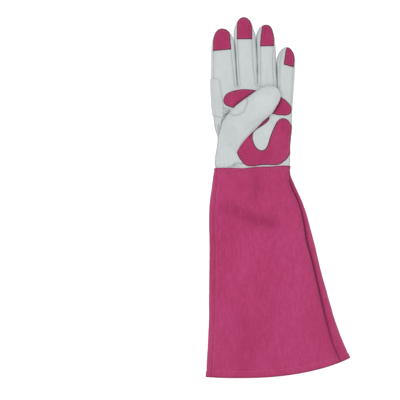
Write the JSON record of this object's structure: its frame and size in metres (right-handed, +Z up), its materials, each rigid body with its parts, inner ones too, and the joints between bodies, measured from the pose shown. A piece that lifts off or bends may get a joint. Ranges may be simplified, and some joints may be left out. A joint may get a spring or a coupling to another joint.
{
  "type": "thorn-proof gardening glove",
  "caption": "Left-hand leather gardening glove lying palm up, thumb folded over the palm, with suede palm pads, suede fingertips and a long flared suede arm cuff.",
  "frame": {"origin": "middle of the glove's bounding box, on the surface that it lies on", "axes": "+X from the thumb side to the little finger, +Y from the arm cuff to the fingertips, +Z up out of the palm"},
  "size_m": [0.1868, 0.4688, 0.037],
  "materials": {
    "white_goatskin": "smooth fine grain, soft satin",
    "pink_suede": "split leather with a short mottled nap, matt"
  },
  "bodies": {
    "root": {"palm_panel": "white_goatskin", "back_panel": "white_goatskin", "fourchette_index_middle": "white_goatskin", "fourchette_middle_ring": "white_goatskin", "fourchette_ring_little": "white_goatskin", "thumb": "white_goatskin", "index_side_patch": "white_goatskin", "thumb_crotch_patch": "white_goatskin", "fingertip_pad_index": "pink_suede", "fingertip_pad_middle": "pink_suede", "fingertip_pad_ring": "pink_suede", "fingertip_pad_little": "pink_suede", "palm_pad_upper": "pink_suede", "palm_pad_lower": "pink_suede", "cuff_palm_panel": "pink_suede", "cuff_back_panel": "pink_suede"}
  },
  "joints": []
}
